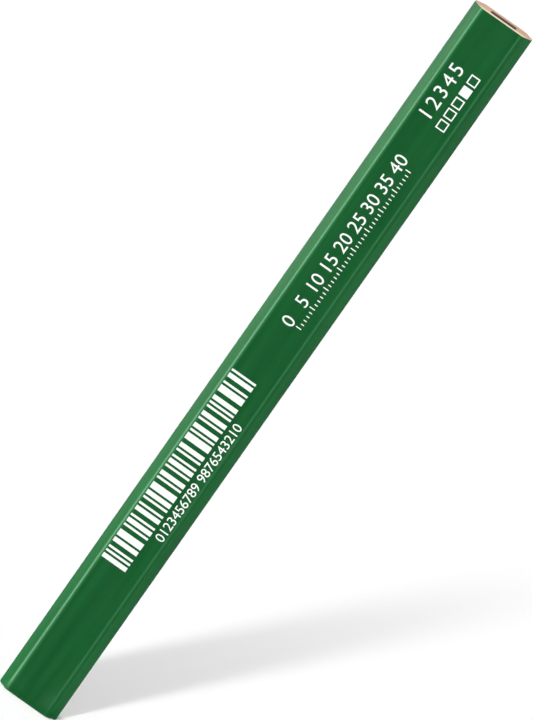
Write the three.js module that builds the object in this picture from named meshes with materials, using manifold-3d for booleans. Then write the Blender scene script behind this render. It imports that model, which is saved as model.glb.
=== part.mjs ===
// A flat carpenter's pencil, unsharpened, in millimetres, standing on one end.
//
// Two wooden slats are glued together round a flat writing core. The stick is planed to a flattened
// octagon with rounded edges, primed and lacquered, then cut square to length, which leaves the wood
// and the core bare at both ends. Nothing on it moves.
//
// Row frame: +X across its width, +Y through its thickness from the front wide face to the back one,
// +Z up along the pencil, and the origin in the middle of the end that it stands on.
//
// Each piece is a section in XY extruded along +Z, centred on the middle of the pencil's length, and
// one group lifts them all to stand on the origin.

import * as THREE from "three";
import { mergeVertices } from "three/addons/utils/BufferGeometryUtils.js";
import Module from "manifold-3d";

const wasm = await Module();
wasm.setup();

// Driving dimensions of the finished stick, over the lacquer.
const LENGTH = 175;
const WIDTH = 14.2;
const THICKNESS = 7;
const FACE_WIDTH = 10.2; // a wide face, measured to its sharp edges before they are rounded
const SIDE_HEIGHT = 1.6; // the narrow side, measured the same way
const FACE_EDGE_RADIUS = 1.3;
const SIDE_EDGE_RADIUS = 1.2;

// Coats and glue.
const LACQUER = 0.1;
const PRIMER = 0.06;
const GLUE = 0.08;
const GAP = 0.02; // between neighbouring pieces, so that each stays a solid of its own

// The writing core.
const CORE_WIDTH = 6.2;
const CORE_THICKNESS = 2.9;
const CORE_CORNER_RADIUS = 0.3;

const ARC_STEPS = 8; // straight steps in each rounded edge
const MERGE_TOLERANCE = 1e-5; // how close two corners are when they are one
const OVERRUN = 5; // how far a cutting tool runs past each end of the work
const TOOL_LENGTH = LENGTH + 2 * OVERRUN;

// How far each layer's outer face lies inside the lacquer's.
const PRIMER_INSET = LACQUER + GAP;
const WOOD_INSET = PRIMER_INSET + PRIMER + GAP;

// How far the glue and the groove lie outside the core, with a gap on each side of the glue.
const GLUE_MARGIN = GAP + GLUE;
const GROOVE_MARGIN = GLUE_MARGIN + GAP;
const SEAM_HALF = GLUE / 2 + GAP; // from the glue plane to a slat's inner face

// The angle between a wide face and the sloping face beside it.
const CHAMFER_ANGLE = Math.atan2((THICKNESS - SIDE_HEIGHT) / 2, (WIDTH - FACE_WIDTH) / 2);

// ---------------------------------------------------------------- sections

// A closed outline through convex corners, listed anticlockwise, each rounded to its own radius.
function roundedOutline(corners) {
  const shape = new THREE.Shape();
  corners.forEach((corner, i) => {
    const before = corners.at(i - 1).at;
    const after = corners[(i + 1) % corners.length].at;
    const fromBefore = corner.at.clone().sub(before).normalize();
    const toAfter = after.clone().sub(corner.at).normalize();
    const turn = Math.acos(fromBefore.dot(toAfter));
    const tangent = corner.radius * Math.tan(turn / 2);
    const start = corner.at.clone().addScaledVector(fromBefore, -tangent);
    const outward = new THREE.Vector2(fromBefore.y, -fromBefore.x);
    const centre = start.clone().addScaledVector(outward, -corner.radius);
    const startAngle = outward.angle();
    shape.absarc(centre.x, centre.y, corner.radius, startAngle, startAngle + turn, false);
  });
  return shape;
}

// The stick's flattened octagon, moved inwards all round by inset, which keeps its rounding concentric.
function stickSection(inset) {
  const faceX = FACE_WIDTH / 2 - inset * Math.tan(CHAMFER_ANGLE / 2);
  const faceY = THICKNESS / 2 - inset;
  const sideX = WIDTH / 2 - inset;
  const sideY = SIDE_HEIGHT / 2 - inset * Math.tan((Math.PI / 2 - CHAMFER_ANGLE) / 2);
  const faceCorner = (x, y) => ({ at: new THREE.Vector2(x, y), radius: FACE_EDGE_RADIUS - inset });
  const sideCorner = (x, y) => ({ at: new THREE.Vector2(x, y), radius: SIDE_EDGE_RADIUS - inset });
  return roundedOutline([
    sideCorner(sideX, -sideY),
    sideCorner(sideX, sideY),
    faceCorner(faceX, faceY),
    faceCorner(-faceX, faceY),
    sideCorner(-sideX, sideY),
    sideCorner(-sideX, -sideY),
    faceCorner(-faceX, -faceY),
    faceCorner(faceX, -faceY),
  ]);
}

// The core's rounded rectangle, grown outwards all round by margin.
function coreSection(margin) {
  const x = CORE_WIDTH / 2 + margin;
  const y = CORE_THICKNESS / 2 + margin;
  const radius = CORE_CORNER_RADIUS + margin;
  const corners = [[x, -y], [x, y], [-x, y], [-x, -y]];
  return roundedOutline(corners.map(([cx, cy]) => ({ at: new THREE.Vector2(cx, cy), radius })));
}

// ---------------------------------------------------------------- solids

// A three.js geometry as a manifold-3d solid.
function toSolid(geometry) {
  const plain = geometry.clone();
  plain.deleteAttribute("normal");
  plain.deleteAttribute("uv");
  const merged = mergeVertices(plain, MERGE_TOLERANCE);
  return new wasm.Manifold(
    new wasm.Mesh({
      numProp: 3,
      vertProperties: merged.attributes.position.array,
      triVerts: new Uint32Array(merged.index.array),
    }),
  );
}

// A manifold-3d solid as a three.js geometry.
function toGeometry(solid) {
  const { numProp, numVert, vertProperties, triVerts } = solid.getMesh();
  const positions = new Float32Array(numVert * 3);
  for (let i = 0; i < numVert; i++) {
    positions.set(vertProperties.subarray(i * numProp, i * numProp + 3), i * 3);
  }
  const geometry = new THREE.BufferGeometry();
  geometry.setAttribute("position", new THREE.BufferAttribute(positions, 3));
  geometry.setIndex(new THREE.BufferAttribute(new Uint32Array(triVerts), 1));
  geometry.computeVertexNormals();
  return geometry;
}

// A prism of the section, centred on the middle of the pencil.
function prism(section, length) {
  const geometry = new THREE.ExtrudeGeometry(section, {
    depth: length,
    bevelEnabled: false,
    curveSegments: ARC_STEPS,
  });
  return toSolid(geometry.translate(0, 0, -length / 2));
}

// Everything inside the coats, cut to length: the wood with its groove and glue plane still filled.
function woodBlank() {
  return prism(stickSection(WOOD_INSET), LENGTH);
}

// One slat: half of the wood, in front of the glue plane (side -1) or behind it (+1), with its groove.
function slat(side) {
  const half = new THREE.BoxGeometry(2 * WIDTH, THICKNESS, TOOL_LENGTH);
  half.translate(0, side * (SEAM_HALF + THICKNESS / 2), 0);
  return woodBlank().intersect(toSolid(half)).subtract(prism(coreSection(GROOVE_MARGIN), TOOL_LENGTH));
}

// The writing core.
function core() {
  return prism(coreSection(0), LENGTH);
}

// The one glue film: a sleeve round the core with a wing out to each side of the wood.
function glueFilm() {
  const wings = toSolid(new THREE.BoxGeometry(2 * WIDTH, GLUE, TOOL_LENGTH));
  const sleeve = prism(coreSection(GLUE_MARGIN), TOOL_LENGTH);
  const hole = prism(coreSection(GAP), TOOL_LENGTH);
  return woodBlank().intersect(wings.add(sleeve)).subtract(hole);
}

// A coat: what lies between two insets of the section, open at both ends.
function coat(outerInset, thickness) {
  const inside = prism(stickSection(outerInset + thickness), TOOL_LENGTH);
  return prism(stickSection(outerInset), LENGTH).subtract(inside);
}

// ---------------------------------------------------------------- materials

const materials = {
  lacquer: new THREE.MeshStandardMaterial({ color: 0x185b2e, roughness: 0.3, metalness: 0 }),
  primer: new THREE.MeshStandardMaterial({ color: 0xe6dcbe, roughness: 0.7, metalness: 0 }),
  wood: new THREE.MeshStandardMaterial({ color: 0xd5b499, roughness: 0.75, metalness: 0 }),
  core: new THREE.MeshStandardMaterial({ color: 0x5f5049, roughness: 0.45, metalness: 0.2 }),
  glue: new THREE.MeshStandardMaterial({ color: 0xc9a877, roughness: 0.5, metalness: 0 }),
};

// ---------------------------------------------------------------- assembly

const pencil = new THREE.Group();

function addPiece(name, solid, material) {
  const mesh = new THREE.Mesh(toGeometry(solid), material);
  mesh.name = name;
  pencil.add(mesh);
}

addPiece("front_slat", slat(-1), materials.wood);
addPiece("back_slat", slat(1), materials.wood);
addPiece("writing_core", core(), materials.core);
addPiece("glue_film", glueFilm(), materials.glue);
addPiece("primer_coat", coat(PRIMER_INSET, PRIMER), materials.primer);
addPiece("lacquer_coat", coat(0, LACQUER), materials.lacquer);

// Stand the stick on the origin.
pencil.position.z = LENGTH / 2;

export default pencil;
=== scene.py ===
import math

import bmesh
import bpy
from mathutils import Matrix, Quaternion, Vector


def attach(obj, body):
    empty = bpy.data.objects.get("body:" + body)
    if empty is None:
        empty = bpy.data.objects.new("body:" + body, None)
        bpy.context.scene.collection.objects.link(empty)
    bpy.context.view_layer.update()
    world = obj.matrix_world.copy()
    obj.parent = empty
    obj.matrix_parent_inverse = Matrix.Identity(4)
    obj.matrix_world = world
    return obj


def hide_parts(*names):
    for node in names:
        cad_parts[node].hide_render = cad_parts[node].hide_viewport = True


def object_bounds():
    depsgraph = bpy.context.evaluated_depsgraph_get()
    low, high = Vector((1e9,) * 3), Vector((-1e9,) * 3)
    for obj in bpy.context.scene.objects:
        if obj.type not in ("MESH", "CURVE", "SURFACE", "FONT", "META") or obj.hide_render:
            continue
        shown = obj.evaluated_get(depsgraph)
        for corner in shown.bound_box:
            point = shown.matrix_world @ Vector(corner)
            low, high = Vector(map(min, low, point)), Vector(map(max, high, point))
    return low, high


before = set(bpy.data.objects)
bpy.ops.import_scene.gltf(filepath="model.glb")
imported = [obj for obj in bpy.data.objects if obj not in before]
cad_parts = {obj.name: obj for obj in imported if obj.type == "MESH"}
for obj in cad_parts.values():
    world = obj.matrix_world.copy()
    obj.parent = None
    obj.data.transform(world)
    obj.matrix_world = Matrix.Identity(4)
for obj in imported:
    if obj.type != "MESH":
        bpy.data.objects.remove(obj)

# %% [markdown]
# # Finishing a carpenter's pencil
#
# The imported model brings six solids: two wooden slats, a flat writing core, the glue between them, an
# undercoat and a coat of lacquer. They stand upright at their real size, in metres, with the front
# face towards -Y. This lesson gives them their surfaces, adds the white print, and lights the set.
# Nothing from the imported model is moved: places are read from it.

MM = 0.001

cad_low, cad_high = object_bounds()
width, thickness, length = cad_high - cad_low
front_y = cad_low.y
middle = (cad_low + cad_high) / 2
print("pencil in mm:", [round(size / MM, 2) for size in (width, thickness, length)])

# %% [markdown]
# ## The camera
#
# A real camera tips its picture when it is rolled, so a standing pencil can lean across the frame. We
# stand well back with a long lens, because that keeps the two sides of the pencil parallel. The lens
# then follows from the distance and from how much of the set the picture's long side should take in.

# %% Camera
CAMERA_DISTANCE = 2.0
CAMERA_AZIMUTH = math.radians(1.25)
CAMERA_ELEVATION = math.radians(11.8)
CAMERA_ROLL = math.radians(35)
VIEW_LENGTH = 148.7 * MM  # what the picture's long side takes in, at the pencil
SENSOR_WIDTH = 36
AIM_RIGHT = 0.09 * MM  # how far the picture's middle lies from the pencil's, before the roll
AIM_UP = 0.85 * MM


def make_camera():
    data = bpy.data.cameras.new("camera")
    data.type = "PERSP"
    data.sensor_width = SENSOR_WIDTH
    data.lens = SENSOR_WIDTH * CAMERA_DISTANCE / VIEW_LENGTH
    data.clip_start = CAMERA_DISTANCE / 100
    data.clip_end = CAMERA_DISTANCE * 100
    back = Vector((
        math.sin(CAMERA_AZIMUTH) * math.cos(CAMERA_ELEVATION),
        -math.cos(CAMERA_AZIMUTH) * math.cos(CAMERA_ELEVATION),
        math.sin(CAMERA_ELEVATION),
    ))
    level = (-back).to_track_quat("-Z", "Y")
    camera = bpy.data.objects.new("camera", data)
    camera.rotation_mode = "QUATERNION"
    camera.rotation_quaternion = level @ Quaternion((0, 0, 1), CAMERA_ROLL)
    camera.location = middle + back * CAMERA_DISTANCE + level @ Vector((AIM_RIGHT, AIM_UP, 0))
    bpy.context.scene.collection.objects.link(camera)
    bpy.context.scene.camera = camera
    print("lens in mm:", round(data.lens, 1))


make_camera()

# %% [markdown]
# ## Building materials from code
#
# Every material here starts in the same way: a Principled shader, and the Object coordinates that its
# patterns are read from. Object coordinates are metres from the origin, so a pattern keeps its real
# scale and doesn't slide. These helpers only save typing. The choices stay in each material.

# %% Helpers for shader nodes
def srgb(red, green, blue):
    """A colour given as it looks on a screen, 0 to 255, as the linear numbers that Blender works in."""
    def linear(value):
        share = value / 255
        return share / 12.92 if share <= 0.04045 else ((share + 0.055) / 1.055) ** 2.4

    return (linear(red), linear(green), linear(blue), 1.0)


def add_node(tree, kind, inputs=None, **settings):
    """A shader node with its settings and inputs. An input is a value, or another node's output."""
    node = tree.nodes.new(kind)
    for name, value in settings.items():
        setattr(node, name, value)
    for name, value in (inputs or {}).items():
        if isinstance(value, bpy.types.NodeSocket):
            tree.links.new(value, node.inputs[name])
        else:
            node.inputs[name].default_value = value
    return node


def new_material(name, **inputs):
    """A material with one Principled shader. Returns it, its tree, the shader and Object coordinates."""
    material = bpy.data.materials.new(name)
    material.use_nodes = True
    tree = material.node_tree
    tree.nodes.clear()
    shader = add_node(tree, "ShaderNodeBsdfPrincipled", inputs)
    output = add_node(tree, "ShaderNodeOutputMaterial")
    tree.links.new(shader.outputs["BSDF"], output.inputs["Surface"])
    place = add_node(tree, "ShaderNodeTexCoord").outputs["Object"]
    return material, tree, shader, place


def new_group(name, inputs, outputs):
    """An empty shader node group. Inputs are (name, socket type, default), outputs are (name, type)."""
    tree = bpy.data.node_groups.new(name, "ShaderNodeTree")
    for socket, kind, default in inputs:
        made = tree.interface.new_socket(socket, in_out="INPUT", socket_type=kind)
        made.default_value = default
    for socket, kind in outputs:
        tree.interface.new_socket(socket, in_out="OUTPUT", socket_type=kind)
    return tree, tree.nodes.new("NodeGroupInput").outputs, tree.nodes.new("NodeGroupOutput").inputs


def use_group(tree, group, **inputs):
    """A group placed in a material. An underscore in an input's name stands for a space."""
    node = tree.nodes.new("ShaderNodeGroup")
    node.node_tree = group
    for name, value in inputs.items():
        socket = node.inputs[name.replace("_", " ")]
        if isinstance(value, bpy.types.NodeSocket):
            tree.links.new(value, socket)
        else:
            socket.default_value = value
    return node.outputs


# %% [markdown]
# ## Two patterns that most surfaces share
#
# Hardly any real surface is even. The first group is soft unevenness, stretched along any direction:
# long and thin it is wood grain showing through paint, short it is the skin of a brushed coat. The
# second is scattered small specks, for pores in wood and grit in the core. Both put out plain values,
# and each material decides what they change.

# %% Shared pattern groups
FLOAT = "NodeSocketFloat"
VECTOR = "NodeSocketVector"


def make_unevenness_group():
    tree, given, out = new_group(
        "soft_unevenness",
        [("Place", VECTOR, (0, 0, 0)), ("Stretch", VECTOR, (1, 1, 1)), ("Per Metre", FLOAT, 1000.0),
         ("Low", FLOAT, 0.0), ("High", FLOAT, 1.0)],
        [("Value", FLOAT)],
    )
    stretched = add_node(tree, "ShaderNodeVectorMath", operation="MULTIPLY")
    tree.links.new(given["Place"], stretched.inputs[0])
    tree.links.new(given["Stretch"], stretched.inputs[1])
    noise = add_node(tree, "ShaderNodeTexNoise", {"Detail": 4.0, "Vector": stretched.outputs[0]})
    tree.links.new(given["Per Metre"], noise.inputs["Scale"])
    spread = add_node(tree, "ShaderNodeMapRange", {
        "Value": noise.outputs["Fac"], "From Min": 0.3, "From Max": 0.7,
    })
    tree.links.new(given["Low"], spread.inputs["To Min"])
    tree.links.new(given["High"], spread.inputs["To Max"])
    tree.links.new(spread.outputs["Result"], out["Value"])
    return tree


def make_specks_group():
    tree, given, out = new_group(
        "small_specks",
        [("Place", VECTOR, (0, 0, 0)), ("Per Metre", FLOAT, 4000.0), ("Size", FLOAT, 0.3)],
        [("Mask", FLOAT)],
    )
    cells = add_node(tree, "ShaderNodeTexVoronoi", feature="F1")
    tree.links.new(given["Place"], cells.inputs["Vector"])
    tree.links.new(given["Per Metre"], cells.inputs["Scale"])
    inside = add_node(tree, "ShaderNodeMapRange", {
        "Value": cells.outputs["Distance"], "To Min": 1.0, "To Max": 0.0,
    }, interpolation_type="SMOOTHSTEP")
    tree.links.new(given["Size"], inside.inputs["From Max"])
    tree.links.new(inside.outputs["Result"], out["Mask"])
    return tree


soft_unevenness = make_unevenness_group()
small_specks = make_specks_group()
print("shared groups:", [group.name for group in bpy.data.node_groups])

# %% [markdown]
# ## The floor and the world
#
# The floor is a wide white disc. Its own colour makes it white, with a little glow that only the
# camera sees, so that it reaches paper white without more light falling on the pencil. The world
# lights everything evenly from all round. The camera, gloss and glass see the world as plain white.

# %% Floor and world
FLOOR_RADIUS = 9.0
DISC_SIDES = 64
FLOOR_WHITE = (0.95, 0.95, 0.95, 1)
FLOOR_GLOW = 0.045
FILL_STRENGTH = 0.28


def disc(name, radius, height):
    """A flat round sheet that faces up."""
    mesh = bpy.data.meshes.new(name)
    bm = bmesh.new()
    bmesh.ops.create_circle(bm, cap_ends=True, segments=DISC_SIDES, radius=radius,
                            matrix=Matrix.Translation((0, 0, height)))
    bm.to_mesh(mesh)
    bm.free()
    made = bpy.data.objects.new(name, mesh)
    bpy.context.scene.collection.objects.link(made)
    return made


def make_floor():
    floor = disc("floor", FLOOR_RADIUS, 0)
    material = bpy.data.materials.new("floor_white")
    material.use_nodes = True
    tree = material.node_tree
    tree.nodes.clear()
    paper = add_node(tree, "ShaderNodeBsdfDiffuse", {"Color": FLOOR_WHITE})
    seen = add_node(tree, "ShaderNodeLightPath").outputs["Is Camera Ray"]
    strength = add_node(tree, "ShaderNodeMath", operation="MULTIPLY")
    tree.links.new(seen, strength.inputs[0])
    strength.inputs[1].default_value = FLOOR_GLOW
    glow = add_node(tree, "ShaderNodeEmission", {"Strength": strength.outputs[0]})
    both = add_node(tree, "ShaderNodeAddShader")
    tree.links.new(paper.outputs[0], both.inputs[0])
    tree.links.new(glow.outputs[0], both.inputs[1])
    output = add_node(tree, "ShaderNodeOutputMaterial")
    tree.links.new(both.outputs[0], output.inputs["Surface"])
    floor.data.materials.append(material)


def make_world():
    """Light from all round, seen as white by the camera, gloss and glass."""
    world = bpy.data.worlds.new("studio")
    bpy.context.scene.world = world
    world.use_nodes = True
    tree = world.node_tree
    tree.nodes.clear()
    path = add_node(tree, "ShaderNodeLightPath").outputs
    seen = add_node(tree, "ShaderNodeMath", operation="MAXIMUM")
    tree.links.new(path["Is Camera Ray"], seen.inputs[0])
    tree.links.new(path["Is Glossy Ray"], seen.inputs[1])
    seen_or_through = add_node(tree, "ShaderNodeMath", operation="MAXIMUM")
    tree.links.new(seen.outputs[0], seen_or_through.inputs[0])
    tree.links.new(path["Is Transmission Ray"], seen_or_through.inputs[1])
    strength = add_node(tree, "ShaderNodeMapRange", {
        "Value": seen_or_through.outputs[0], "To Min": FILL_STRENGTH, "To Max": 1.0,
    })
    light = add_node(tree, "ShaderNodeBackground", {
        "Color": (1, 1, 1, 1), "Strength": strength.outputs["Result"],
    })
    output = add_node(tree, "ShaderNodeOutputWorld")
    tree.links.new(light.outputs[0], output.inputs["Surface"])


make_floor()
make_world()
bpy.context.scene.view_settings.view_transform = "Standard"
print("floor radius in metres:", FLOOR_RADIUS)

# %% [markdown]
# ## The lamps
#
# The shadow behind the pencil fades evenly from the foot to its tip, and its two sides stay fairly
# crisp. One sun can't do that: its shadow is as dark at the tip as at the foot. A tall narrow light
# can, because its upper part throws a short shadow and its lower part a long one. We build that light
# as a column of small suns, and choose their heights so that the shadow lengths are evenly spaced.
# Suns are used because they light the whole floor alike. Two wide low lamps at the sides lighten the
# sloping faces.

# %% Lamps
COLUMN_SUNS = 20
COLUMN_LIGHT = 0.37  # what the whole column adds to the floor, where 1 is full white
COLUMN_FROM_LEFT = math.radians(11.5)
COLUMN_SOFTNESS = math.radians(2)
LONGEST_SHADOW = 2.45  # in heights of the pencil
SIDE_HEIGHT_ANGLE = math.radians(12)
SIDE_SOFTNESS = math.radians(25)
LEFT_AZIMUTH = math.radians(-90)
LEFT_LIGHT = 1.32
RIGHT_AZIMUTH = math.radians(95)
RIGHT_LIGHT = 0.42


def add_sun(name, azimuth, elevation, light, softness):
    """A sun. Light is how bright it makes a white sheet that faces it squarely, where 1 is white."""
    data = bpy.data.lights.new(name, "SUN")
    data.energy = light * math.pi
    data.angle = softness
    sun = bpy.data.objects.new(name, data)
    towards = Vector((
        math.sin(azimuth) * math.cos(elevation),
        -math.cos(azimuth) * math.cos(elevation),
        math.sin(elevation),
    ))
    sun.rotation_mode = "QUATERNION"
    sun.rotation_quaternion = towards.to_track_quat("Z", "Y")
    bpy.context.scene.collection.objects.link(sun)


def make_column():
    for step in range(COLUMN_SUNS):
        shadow = LONGEST_SHADOW * (step + 0.5) / COLUMN_SUNS
        elevation = math.atan2(1, shadow)
        light = COLUMN_LIGHT / COLUMN_SUNS / math.sin(elevation)
        add_sun(f"column_sun_{step:02}", -COLUMN_FROM_LEFT, elevation, light, COLUMN_SOFTNESS)


make_column()
add_sun("left_side_sun", LEFT_AZIMUTH, SIDE_HEIGHT_ANGLE, LEFT_LIGHT, SIDE_SOFTNESS)
add_sun("right_side_sun", RIGHT_AZIMUTH, SIDE_HEIGHT_ANGLE, RIGHT_LIGHT, SIDE_SOFTNESS)
print("lamps:", len(bpy.data.lights))

# %% [markdown]
# ## What the lacquer reflects
#
# A camera that looks a little down on an upright glossy face always sees the floor mirrored in it. A
# photographer lays dark cloth there, so that the colour stays deep, and leaves white card where an
# edge should catch the light. This disc does that job for reflections alone: the camera, the shadows
# and the soft light don't know that it is there. Its brightness depends on the compass direction
# from the pencil, so each upright edge picks up one narrow slice of it. A second, weaker card fades
# in with distance, and lightens the left sloping face towards its top. Close to the foot there is
# only cloth, because there the direction changes too fast for the slices to stay narrow.

# %% The reflection card
CARD_RADIUS = 8.0
CARD_HEIGHT = 0.2 * MM
CARD_TOP = 7.5  # the brightness that the lists' scale of 0 to 1 stands for
# Degrees from straight ahead of the front face, to the left below 0 and to the right above it.
EDGE_CARDS = [
    (-180, 0.0), (-90, 0.02), (-77, 0.30), (-66, 0.80), (-53, 1.0), (-47, 0.25), (-40, 0.08), (-20, 0.06),
    (-4, 0.0), (4, 0.0), (13, 0.11), (34, 0.13), (46, 0.0), (75, 0.0), (95, 0.035), (125, 0.042),
    (150, 0.015), (180, 0.0),
]
FAR_CARD = [(-180, 0.03), (-150, 0.07), (-125, 0.11), (-95, 0.11), (-80, 0.07), (-68, 0.0), (180, 0.0)]
FAR_CARD_STARTS = -0.1  # distances from the pencil, in metres, between which the far card comes in
FAR_CARD_FULL = 0.65
CLOTH_NEAR = 4 * MM  # plain dark cloth lies round the foot, and the cards come in between these
CLOTH_FAR = 18 * MM
EDGE_CARD_COLOUR = (0.62, 1.0, 0.74, 1)  # slightly green, so that the highlight keeps the lacquer's hue


def brightness_by_direction(tree, turn, steps):
    """A brightness for each direction round the pencil, from a list of degrees and brightnesses."""
    ramp = add_node(tree, "ShaderNodeValToRGB", {"Fac": turn})
    ramp.color_ramp.interpolation = "EASE"
    stops = ramp.color_ramp.elements
    while len(stops) < len(steps):
        stops.new(0.5)
    for stop, (degrees, brightness) in zip(stops, steps):
        stop.position = (degrees + 180) / 360
        stop.color = (brightness, brightness, brightness, 1)
    return ramp.outputs["Color"]


def make_reflection_card():
    card = disc("reflection_card", CARD_RADIUS, CARD_HEIGHT)
    card.visible_camera = False
    card.visible_diffuse = False
    card.visible_transmission = False
    card.visible_volume_scatter = False
    card.visible_shadow = False
    material = bpy.data.materials.new("card_brightness")
    material.use_nodes = True
    tree = material.node_tree
    tree.nodes.clear()
    place = add_node(tree, "ShaderNodeTexCoord").outputs["Object"]
    axes = add_node(tree, "ShaderNodeSeparateXYZ", {"Vector": place}).outputs
    ahead = add_node(tree, "ShaderNodeMath", operation="MULTIPLY")
    tree.links.new(axes["Y"], ahead.inputs[0])
    ahead.inputs[1].default_value = -1
    direction = add_node(tree, "ShaderNodeMath", operation="ARCTAN2")
    tree.links.new(axes["X"], direction.inputs[0])
    tree.links.new(ahead.outputs[0], direction.inputs[1])
    turn = add_node(tree, "ShaderNodeMapRange", {
        "Value": direction.outputs[0], "From Min": -math.pi, "From Max": math.pi,
    }).outputs["Result"]
    distance = add_node(tree, "ShaderNodeVectorMath", operation="LENGTH")
    tree.links.new(place, distance.inputs[0])
    reach = add_node(tree, "ShaderNodeMapRange", {
        "Value": distance.outputs["Value"], "From Min": FAR_CARD_STARTS, "From Max": FAR_CARD_FULL,
    })
    far = add_node(tree, "ShaderNodeMath", operation="MULTIPLY")
    tree.links.new(brightness_by_direction(tree, turn, FAR_CARD), far.inputs[0])
    tree.links.new(reach.outputs["Result"], far.inputs[1])
    tint = add_node(tree, "ShaderNodeMix", {
        "Factor": 1.0, "A": brightness_by_direction(tree, turn, EDGE_CARDS),
    }, data_type="RGBA", blend_type="MULTIPLY")
    tint.inputs["B"].default_value = EDGE_CARD_COLOUR
    total = add_node(tree, "ShaderNodeMix", {"Factor": 1.0, "A": tint.outputs["Result"]},
                     data_type="RGBA", blend_type="ADD")
    tree.links.new(far.outputs[0], total.inputs["B"])
    past_cloth = add_node(tree, "ShaderNodeMapRange", {
        "Value": distance.outputs["Value"], "From Min": CLOTH_NEAR, "From Max": CLOTH_FAR,
        "To Max": CARD_TOP,
    }, interpolation_type="SMOOTHSTEP")
    glow = add_node(tree, "ShaderNodeEmission", {
        "Color": total.outputs["Result"], "Strength": past_cloth.outputs["Result"],
    })
    output = add_node(tree, "ShaderNodeOutputMaterial")
    tree.links.new(glow.outputs[0], output.inputs["Surface"])
    card.data.materials.append(material)


make_reflection_card()
print("card steps:", len(EDGE_CARDS) + len(FAR_CARD))

# %% [markdown]
# ## The lacquer coat
#
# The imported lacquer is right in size, but its rounded edges are made of a few flat strips, which a
# glossy finish shows up. We make a finer one. It starts as the eight corners of the sharp section,
# which is extruded to full length. Bevelling the long edges then rounds them as a plane and several
# dipped coats would. Insetting the two ends and bridging between the insets turns the solid into a
# thin shell, and a last tiny bevel is the softened rim where the coat was cut.

# %% Shape of the lacquer
FACE_WIDTH = 10.2 * MM
SIDE_HEIGHT = 1.6 * MM
FACE_EDGE_RADIUS = 1.3 * MM
SIDE_EDGE_RADIUS = 1.2 * MM
LACQUER = 0.1 * MM
RIM_RADIUS = 0.03 * MM
EDGE_STEPS = 16
RIM_STEPS = 3

chamfer_angle = math.atan2((thickness - SIDE_HEIGHT) / 2, (width - FACE_WIDTH) / 2)


def sharp_corners():
    """The section's eight corners before rounding, anticlockwise seen from above."""
    face, side = FACE_WIDTH / 2, width / 2
    deep, shallow = thickness / 2, SIDE_HEIGHT / 2
    return [(side, -shallow), (side, shallow), (face, deep), (-face, deep),
            (-side, shallow), (-side, -shallow), (-face, -deep), (face, -deep)]


def upright_edges(bm, is_chosen):
    """The long edges whose distance across the pencil from its middle is_chosen accepts."""
    return [
        edge for edge in bm.edges
        if abs(edge.verts[0].co.z - edge.verts[1].co.z) > length / 2
        and is_chosen(abs(edge.verts[0].co.x))
    ]


def round_edges(bm, edges, radius, turn, steps):
    """Rounds edges to a radius. The bevel's offset is how far the arc starts from the sharp corner."""
    bmesh.ops.bevel(bm, geom=edges, offset=radius * math.tan(turn / 2), offset_type="OFFSET",
                    affect="EDGES", segments=steps, profile=0.5, material=-1)


def end_faces(bm):
    return [face for face in bm.faces if abs(face.normal.z) > 0.99]


def build_lacquer():
    bm = bmesh.new()
    corners = [bm.verts.new((x, y, cad_low.z)) for x, y in sharp_corners()]
    section = bm.faces.new(corners)
    raised = bmesh.ops.extrude_face_region(bm, geom=[section])["geom"]
    top = [part for part in raised if isinstance(part, bmesh.types.BMVert)]
    bmesh.ops.translate(bm, verts=top, vec=(0, 0, length))
    bmesh.ops.recalc_face_normals(bm, faces=bm.faces)
    limit = (FACE_WIDTH + width) / 4
    side_turn = math.pi / 2 - chamfer_angle
    round_edges(bm, upright_edges(bm, lambda x: x > limit), SIDE_EDGE_RADIUS, side_turn, EDGE_STEPS)
    at_face = upright_edges(bm, lambda x: abs(x - FACE_WIDTH / 2) < MM / 10)
    round_edges(bm, at_face, FACE_EDGE_RADIUS, chamfer_angle, EDGE_STEPS)
    bmesh.ops.inset_individual(bm, faces=end_faces(bm), thickness=LACQUER, use_even_offset=True)
    inner = sorted(end_faces(bm), key=lambda face: -len(face.verts))[:2]
    rims = [edge for face in inner for edge in face.edges]
    bmesh.ops.delete(bm, geom=inner, context="FACES_ONLY")
    bmesh.ops.bridge_loops(bm, edges=rims)
    bmesh.ops.recalc_face_normals(bm, faces=bm.faces)
    return bm


def faces_outwards(face):
    """Whether a face looks away from the pencil's middle line. An end face counts too."""
    centre = face.calc_center_median()
    return face.normal.dot(Vector((centre.x, centre.y, 0))) > -1e-9


def soften_rims(bm):
    """Rounds the outer edge of each cut end a very little."""
    bm.normal_update()
    outer = [
        edge for edge in bm.edges
        if len(edge.link_faces) == 2
        and sorted(round(abs(face.normal.z)) for face in edge.link_faces) == [0, 1]
        and all(faces_outwards(face) for face in edge.link_faces)
    ]
    bmesh.ops.bevel(bm, geom=outer, offset=RIM_RADIUS, offset_type="OFFSET", affect="EDGES",
                    segments=RIM_STEPS, profile=0.5, material=-1)


def add_piece(name, bm, material):
    """Turns a bmesh into a piece that rides on the pencil."""
    mesh = bpy.data.meshes.new(name)
    bm.to_mesh(mesh)
    bm.free()
    for polygon in mesh.polygons:
        polygon.use_smooth = True
    mesh.materials.append(material)
    piece = bpy.data.objects.new(name, mesh)
    bpy.context.scene.collection.objects.link(piece)
    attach(piece, "root")
    return piece


# %% [markdown]
# Lacquer over planed wood is smooth, but not as flat as glass. Long faint ridges of the grain show
# through it, and its gloss varies a little. The colour is deep, so only a very small change in it is
# wanted. Along the two edges of each wide face the colour is painted paler, a painted highlight that
# widens the one the lacquer reflects there. A fine line on the narrow sides is where the two slats meet
# under the paint.

# %% Finish of the lacquer
# The painted highlight along the face edges: where it is strongest, how far it reaches and how pale it
# gets.
EDGE_HIGHLIGHT_AT = 4.78 * MM  # from the middle of the face
EDGE_HIGHLIGHT_REACH = 0.55 * MM
EDGE_HIGHLIGHT_SHARE = 0.4  # how far the colour goes towards the paler one
SEAM_REACH = 0.12 * MM  # from the glue line to where its groove ends


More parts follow.
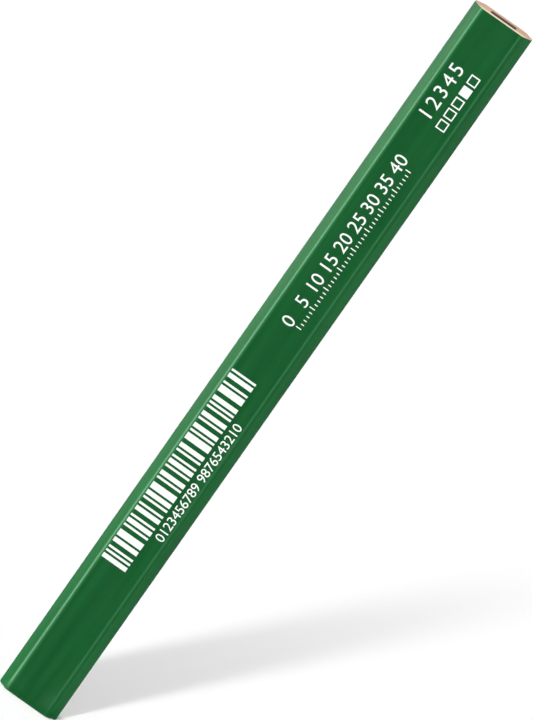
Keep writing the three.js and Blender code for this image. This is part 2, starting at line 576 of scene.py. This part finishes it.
def make_lacquer_material():
    material, tree, shader, place = new_material("green_lacquer", **{"IOR": 1.5})
    tone = use_group(tree, soft_unevenness, Place=place, Stretch=(1, 1, 0.06), Per_Metre=500.0)
    colour = add_node(tree, "ShaderNodeMix", {"Factor": tone["Value"]}, data_type="RGBA")
    colour.inputs["A"].default_value = srgb(16, 83, 39)
    colour.inputs["B"].default_value = srgb(23, 94, 46)
    axes = add_node(tree, "ShaderNodeSeparateXYZ", {"Vector": place}).outputs
    # Painted highlight: near each edge of a wide face the colour is mixed towards a paler green.
    from_middle = add_node(tree, "ShaderNodeMath", operation="ABSOLUTE")
    tree.links.new(axes["X"], from_middle.inputs[0])
    from_edge = add_node(tree, "ShaderNodeMath", operation="SUBTRACT")
    tree.links.new(from_middle.outputs[0], from_edge.inputs[0])
    from_edge.inputs[1].default_value = EDGE_HIGHLIGHT_AT
    either_side = add_node(tree, "ShaderNodeMath", operation="ABSOLUTE")
    tree.links.new(from_edge.outputs[0], either_side.inputs[0])
    painted_highlight = add_node(tree, "ShaderNodeMapRange", {
        "Value": either_side.outputs[0], "From Max": EDGE_HIGHLIGHT_REACH,
        "To Min": EDGE_HIGHLIGHT_SHARE, "To Max": 0.0,
    }, interpolation_type="SMOOTHSTEP")
    coat = add_node(tree, "ShaderNodeMix", {
        "Factor": painted_highlight.outputs["Result"], "A": colour.outputs["Result"],
    }, data_type="RGBA")
    coat.inputs["B"].default_value = srgb(46, 116, 66)
    tree.links.new(coat.outputs["Result"], shader.inputs["Base Color"])
    gloss = use_group(tree, soft_unevenness, Place=place, Stretch=(1, 1, 0.1), Per_Metre=900.0,
                      Low=0.15, High=0.22)
    tree.links.new(gloss["Value"], shader.inputs["Roughness"])
    grain = use_group(tree, soft_unevenness, Place=place, Stretch=(1, 1, 0.03), Per_Metre=2200.0)
    from_seam = add_node(tree, "ShaderNodeMath", operation="ABSOLUTE")
    tree.links.new(axes["Y"], from_seam.inputs[0])
    seam = add_node(tree, "ShaderNodeMapRange", {
        "Value": from_seam.outputs[0], "From Max": SEAM_REACH, "To Min": -1.0, "To Max": 0.0,
    })
    height = add_node(tree, "ShaderNodeMath", operation="ADD")
    tree.links.new(grain["Value"], height.inputs[0])
    tree.links.new(seam.outputs["Result"], height.inputs[1])
    bump = add_node(tree, "ShaderNodeBump", {
        "Strength": 0.35, "Distance": 0.004 * MM, "Height": height.outputs[0],
    })
    tree.links.new(bump.outputs["Normal"], shader.inputs["Normal"])
    return material


lacquer_bm = build_lacquer()
soften_rims(lacquer_bm)
lacquer = add_piece("lacquer_skin", lacquer_bm, make_lacquer_material())
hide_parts("lacquer_coat")
even = lacquer.modifiers.new("even_shading", "WEIGHTED_NORMAL")
even.keep_sharp = True
print("lacquer faces:", len(lacquer.data.polygons))

# %% [markdown]
# ## The bare ends: wood
#
# The stick is sawn to length after it is lacquered, so both ends show end grain. Growth rings cross it
# as faint curved bands, much wider than the pencil, so only short pieces of them are seen. The ends of
# the wood's tubes show as tiny dark pits, and the saw leaves fine straight scratches. The two slats
# come from different boards, so each has its own tone and its own ring centre. The front one is paler
# near the coat.

# %% Bare wood
RING_SPACING = 0.9 * MM
PIT_SPACING = 0.16 * MM
SCRATCH_SPACING = 0.12 * MM
PIT_TONE = srgb(150, 108, 84)
PIT_SHARE = 0.35  # how much of that tone a pit takes
EDGE_ENDS = 1.1 * MM  # the paler wood at the front fades between these depths below the face
EDGE_GONE = 2.0 * MM


def make_wood_material(name, early, late, edge, ring_centre):
    """End grain. Early and late wood are the two tones of a ring, and edge is the tone at the front."""
    material, tree, shader, place = new_material(name, **{"IOR": 1.45, "Specular IOR Level": 0.25})
    about = add_node(tree, "ShaderNodeMapping", {"Vector": place, "Location": ring_centre})
    about.inputs["Scale"].default_value = (1, 1, 0.02)
    rings = add_node(tree, "ShaderNodeTexWave", {
        "Vector": about.outputs["Vector"], "Scale": 0.314 / RING_SPACING, "Distortion": 1.6,
        "Detail": 2.0, "Detail Scale": 3.0,
    }, wave_type="RINGS", rings_direction="Z")
    board = use_group(tree, soft_unevenness, Place=place, Per_Metre=260.0, Low=0.0, High=0.45)
    ring_share = add_node(tree, "ShaderNodeMath", operation="MULTIPLY_ADD")
    tree.links.new(rings.outputs["Fac"], ring_share.inputs[0])
    ring_share.inputs[1].default_value = 0.55
    tree.links.new(board["Value"], ring_share.inputs[2])
    tone = add_node(tree, "ShaderNodeMix", {"Factor": ring_share.outputs[0]}, data_type="RGBA")
    tone.inputs["A"].default_value = early
    tone.inputs["B"].default_value = late
    axes = add_node(tree, "ShaderNodeSeparateXYZ", {"Vector": place}).outputs
    near_coat = add_node(tree, "ShaderNodeMapRange", {
        "Value": axes["Y"], "From Min": front_y + EDGE_ENDS, "From Max": front_y + EDGE_GONE,
        "To Min": 1.0, "To Max": 0.0,
    })
    paler = add_node(tree, "ShaderNodeMix", {
        "Factor": near_coat.outputs["Result"], "A": tone.outputs["Result"],
    }, data_type="RGBA")
    paler.inputs["B"].default_value = edge
    pits = use_group(tree, small_specks, Place=place, Per_Metre=1 / PIT_SPACING, Size=0.34)
    pitted = add_node(tree, "ShaderNodeMix", {"A": paler.outputs["Result"]}, data_type="RGBA")
    pit_share = add_node(tree, "ShaderNodeMath", operation="MULTIPLY")
    tree.links.new(pits["Mask"], pit_share.inputs[0])
    pit_share.inputs[1].default_value = PIT_SHARE
    tree.links.new(pit_share.outputs[0], pitted.inputs["Factor"])
    pitted.inputs["B"].default_value = PIT_TONE
    tree.links.new(pitted.outputs["Result"], shader.inputs["Base Color"])
    dryness = use_group(tree, soft_unevenness, Place=place, Per_Metre=1500.0, Low=0.7, High=0.9)
    tree.links.new(dryness["Value"], shader.inputs["Roughness"])
    scratches = use_group(tree, soft_unevenness, Place=place, Stretch=(1, 0.08, 1),
                          Per_Metre=1 / SCRATCH_SPACING, Low=0.0, High=0.6)
    height = add_node(tree, "ShaderNodeMath", operation="SUBTRACT")
    tree.links.new(scratches["Value"], height.inputs[0])
    tree.links.new(pits["Mask"], height.inputs[1])
    bump = add_node(tree, "ShaderNodeBump", {
        "Strength": 0.5, "Distance": 0.02 * MM, "Height": height.outputs[0],
    })
    tree.links.new(bump.outputs["Normal"], shader.inputs["Normal"])
    return material


def refinish(node, material):
    """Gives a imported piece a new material. The piece itself is left as it is."""
    slots = bpy.data.objects[node].material_slots
    for slot in slots:
        slot.material = material
    print(node, "has a new finish in", len(slots), "slot")


refinish("front_slat", make_wood_material(
    "pale_board", srgb(222, 189, 163), srgb(196, 156, 128), srgb(240, 226, 192), (0.004, 0.021, 0)))
refinish("back_slat", make_wood_material(
    "pink_board", srgb(218, 183, 159), srgb(180, 140, 117), srgb(214, 181, 157), (-0.006, 0.026, 0)))

# %% [markdown]
# ## The bare ends: core, glue and undercoat
#
# The core is fired clay and graphite. Sawing leaves it dark and nearly dull, with drag marks along
# the way the saw went and a few pale clay grains. The glue is a thin amber line round it. The undercoat
# is a thin cream line just inside the lacquer. Both lines are too thin to need a pattern that can be
# made out, so they get only a slight unevenness.

# %% Core, glue and undercoat
def make_core_material():
    material, tree, shader, place = new_material("sawn_core", **{"IOR": 1.5, "Specular IOR Level": 0.05})
    smear = use_group(tree, soft_unevenness, Place=place, Stretch=(0.12, 1, 1), Per_Metre=7000.0)
    tone = add_node(tree, "ShaderNodeMix", {"Factor": smear["Value"]}, data_type="RGBA")
    tone.inputs["A"].default_value = srgb(52, 32, 26)
    tone.inputs["B"].default_value = srgb(76, 50, 42)
    grit = use_group(tree, small_specks, Place=place, Per_Metre=5200.0, Size=0.2)
    gritty = add_node(tree, "ShaderNodeMix", {"Factor": grit["Mask"], "A": tone.outputs["Result"]},
                      data_type="RGBA")
    gritty.inputs["B"].default_value = srgb(104, 82, 72)
    tree.links.new(gritty.outputs["Result"], shader.inputs["Base Color"])
    gloss = use_group(tree, soft_unevenness, Place=place, Per_Metre=3000.0, Low=0.45, High=0.65)
    tree.links.new(gloss["Value"], shader.inputs["Roughness"])
    bump = add_node(tree, "ShaderNodeBump", {
        "Strength": 0.4, "Distance": 0.01 * MM, "Height": smear["Value"],
    })
    tree.links.new(bump.outputs["Normal"], shader.inputs["Normal"])
    return material


def make_film_material(name, dark, light, smooth, rough):
    """A thin dried film with slight unevenness of tone, gloss and height."""
    material, tree, shader, place = new_material(name, **{"IOR": 1.5})
    patches = use_group(tree, soft_unevenness, Place=place, Per_Metre=2500.0)
    tone = add_node(tree, "ShaderNodeMix", {"Factor": patches["Value"]}, data_type="RGBA")
    tone.inputs["A"].default_value = dark
    tone.inputs["B"].default_value = light
    tree.links.new(tone.outputs["Result"], shader.inputs["Base Color"])
    gloss = use_group(tree, soft_unevenness, Place=place, Per_Metre=1800.0, Low=smooth, High=rough)
    tree.links.new(gloss["Value"], shader.inputs["Roughness"])
    bump = add_node(tree, "ShaderNodeBump", {
        "Strength": 0.3, "Distance": 0.005 * MM, "Height": patches["Value"],
    })
    tree.links.new(bump.outputs["Normal"], shader.inputs["Normal"])
    return material


refinish("writing_core", make_core_material())
refinish("glue_film", make_film_material(
    "dried_glue", srgb(170, 128, 80), srgb(196, 156, 104), 0.35, 0.5))
refinish("primer_coat", make_film_material(
    "cream_primer", srgb(224, 213, 180), srgb(235, 226, 196), 0.6, 0.75))

# %% [markdown]
# ## The print
#
# Marks are stamped on the front face with white foil, which leaves a film a hundredth of a millimetre
# thick. A picture wrapped on the face could show them, but real thin shapes stay sharp however near
# you look. They are one mesh of many islands. This pencil carries only plain marks: a block of bars,
# the ten digits up and down, a millimetre rule that is true to size, and a scale from 1 to 5.
#
# The marks read up the pencil, with their tops towards -X. So they are drawn flat, as on paper, and
# one matrix stands them on the face: along the line becomes +Z, and up the letter becomes -X.

# %% Tools for the print
INK = 0.012 * MM  # how far the film stands proud of the lacquer
INK_SUNK = 0.003 * MM
INK_CORNER = 0.05 * MM


def on_face(along, across):
    """Stands a flat drawing on the front face, with its origin this far along and across the pencil."""
    return Matrix((
        (0, -1, 0, across),
        (0, 0, -1, front_y - (INK - INK_SUNK) / 2),
        (1, 0, 0, cad_low.z + along),
        (0, 0, 0, 1),
    ))


def add_bar(bm, start, end, top, bottom):
    """A rectangle of film, from start to end along the pencil and from top to bottom across it."""
    size = Matrix.Diagonal((end - start, bottom - top, INK + INK_SUNK, 1))
    place = on_face((start + end) / 2, (top + bottom) / 2)
    made = bmesh.ops.create_cube(bm, size=1, matrix=place @ size)
    corners = {
        edge for vert in made["verts"] for edge in vert.link_edges
        if abs(edge.verts[0].co.y - edge.verts[1].co.y) > INK / 2
    }
    bmesh.ops.bevel(bm, geom=list(corners), offset=INK_CORNER, offset_type="OFFSET", affect="EDGES",
                    segments=2, profile=0.5, material=-1)


def add_digits(bm, digits, height, along, across, spread=1.0):
    """Digits of a given height, centred on a place. A spread under 1 sets them closer together."""
    curve = bpy.data.curves.new("digits", "FONT")
    curve.body = digits
    curve.extrude = 0.5
    curve.space_character = spread
    curve.resolution_u = 4
    holder = bpy.data.objects.new("digits", curve)
    bpy.context.scene.collection.objects.link(holder)
    bpy.context.view_layer.update()
    drawn = bpy.data.meshes.new_from_object(holder.evaluated_get(bpy.context.evaluated_depsgraph_get()))
    bpy.data.objects.remove(holder)
    xs = [vert.co.x for vert in drawn.vertices]
    ys = [vert.co.y for vert in drawn.vertices]
    scale = height / (max(ys) - min(ys))
    centre = Matrix.Translation((-(min(xs) + max(xs)) / 2, -(min(ys) + max(ys)) / 2, 0))
    size = Matrix.Diagonal((scale, scale, INK + INK_SUNK, 1))
    drawn.transform(on_face(along, across) @ size @ centre)
    joined = bmesh.new()  # text comes with its front, back and sides apart, so they are joined
    joined.from_mesh(drawn)
    bmesh.ops.remove_doubles(joined, verts=joined.verts, dist=1e-7)
    joined.to_mesh(drawn)
    joined.free()
    bm.from_mesh(drawn)
    bpy.data.meshes.remove(drawn)
    return (max(xs) - min(xs)) * scale


# %% [markdown]
# Each group of marks has a function of its own. The bars take their widths from one short list and the
# gaps from another of a different length, so the block looks irregular and stands for nothing that
# could be read.

# %% The four groups of marks
BLOCK_START = 35.1 * MM
BLOCK_END = 83.6 * MM
BLOCK_TOP = -4.6 * MM
BLOCK_BOTTOM = 1.4 * MM
BLOCK_MODULES = 95  # the bars and gaps are whole numbers of these
BAR_WIDTHS = (2, 1, 1, 2, 3, 1, 2, 1)  # repeated along the block
GAP_WIDTHS = (1, 1, 2, 1, 2)  # a different count, so that bars and gaps meet in new pairs each time
DIGITS_MIDDLE = 59.6 * MM
DIGITS_ACROSS = 3.25 * MM
DIGITS_HEIGHT = 2.1 * MM
DIGITS_SPREAD = 0.97
RULE_ZERO = 98.5 * MM
RULE_LENGTH = 40  # millimetres
RULE_LINE = 2.45 * MM  # across the face, where the ticks start
LONG_TICK = 1.3 * MM  # at every fifth millimetre
SHORT_TICK = 0.75 * MM
TICK_WIDTH = 0.22 * MM
RULE_DIGITS_HEIGHT = 2.9 * MM
RULE_DIGITS_ACROSS = -0.75 * MM
SCALE_START = 150.4 * MM
SCALE_STEP = 2.8 * MM
SCALE_STEPS = 5
SCALE_DIGITS_ACROSS = -2.1 * MM
SCALE_DIGITS_HEIGHT = 3.1 * MM
BOX_ACROSS = 2.15 * MM
BOX_SIZE = 2.2 * MM
BOX_LINE = 0.28 * MM
FILLED_BOX = 4


def add_bar_block(bm):
    module = (BLOCK_END - BLOCK_START) / BLOCK_MODULES
    spot = 0
    step = 0
    while spot < BLOCK_MODULES:
        bar = BAR_WIDTHS[step % len(BAR_WIDTHS)]
        gap = GAP_WIDTHS[step % len(GAP_WIDTHS)]
        stop = min(spot + bar, BLOCK_MODULES)
        add_bar(bm, BLOCK_START + spot * module, BLOCK_START + stop * module, BLOCK_TOP, BLOCK_BOTTOM)
        spot = stop + gap
        step += 1
    print("bars in the block:", step)


def add_digit_line(bm):
    wide = add_digits(bm, "0123456789 9876543210", DIGITS_HEIGHT, DIGITS_MIDDLE, DIGITS_ACROSS,
                      spread=DIGITS_SPREAD)
    print("digit line in mm:", round(wide / MM, 1))


def add_rule(bm):
    for mark in range(RULE_LENGTH + 1):
        height = SHORT_TICK if mark % 5 else LONG_TICK
        place = RULE_ZERO + mark * MM
        add_bar(bm, place - TICK_WIDTH / 2, place + TICK_WIDTH / 2, RULE_LINE - height, RULE_LINE)
        if mark % 5 == 0:
            add_digits(bm, str(mark), RULE_DIGITS_HEIGHT, place, RULE_DIGITS_ACROSS)


def add_box(bm, centre, filled):
    half = BOX_SIZE / 2
    start, end = centre - half, centre + half
    top, bottom = BOX_ACROSS - half, BOX_ACROSS + half
    if filled:
        add_bar(bm, start, end, top, bottom)
        return
    add_bar(bm, start, start + BOX_LINE, top, bottom)
    add_bar(bm, end - BOX_LINE, end, top, bottom)
    add_bar(bm, start + BOX_LINE, end - BOX_LINE, top, top + BOX_LINE)
    add_bar(bm, start + BOX_LINE, end - BOX_LINE, bottom - BOX_LINE, bottom)


def add_five_step_scale(bm):
    for step in range(1, SCALE_STEPS + 1):
        centre = SCALE_START + (step - 1) * SCALE_STEP
        add_digits(bm, str(step), SCALE_DIGITS_HEIGHT, centre, SCALE_DIGITS_ACROSS)
        add_box(bm, centre, step == FILLED_BOX)


# %% [markdown]
# Foil doesn't cover perfectly. Where the grain lies a little lower, the white is thinner and some of
# the green shows through, and the film is duller than the lacquer.

# %% Finish of the print, and the piece
def make_ink_material():
    material, tree, shader, place = new_material("white_foil", **{"IOR": 1.45})
    cover = use_group(tree, soft_unevenness, Place=place, Stretch=(1, 1, 0.15), Per_Metre=5000.0,
                      Low=0.0, High=0.22)
    colour = add_node(tree, "ShaderNodeMix", {"Factor": cover["Value"]}, data_type="RGBA")
    colour.inputs["A"].default_value = srgb(246, 250, 245)
    colour.inputs["B"].default_value = srgb(178, 206, 184)
    tree.links.new(colour.outputs["Result"], shader.inputs["Base Color"])
    gloss = use_group(tree, soft_unevenness, Place=place, Per_Metre=2500.0, Low=0.4, High=0.6)
    tree.links.new(gloss["Value"], shader.inputs["Roughness"])
    bump = add_node(tree, "ShaderNodeBump", {
        "Strength": 0.3, "Distance": 0.003 * MM, "Height": cover["Value"],
    })
    tree.links.new(bump.outputs["Normal"], shader.inputs["Normal"])
    return material


ink_bm = bmesh.new()
add_bar_block(ink_bm)
add_digit_line(ink_bm)
add_rule(ink_bm)
add_five_step_scale(ink_bm)
bmesh.ops.recalc_face_normals(ink_bm, faces=ink_bm.faces)
print("open edges in the print:", sum(not edge.is_manifold for edge in ink_bm.edges))
printed = add_piece("printed_marks", ink_bm, make_ink_material())
for polygon in printed.data.polygons:
    polygon.use_smooth = False
print("print faces:", len(printed.data.polygons))
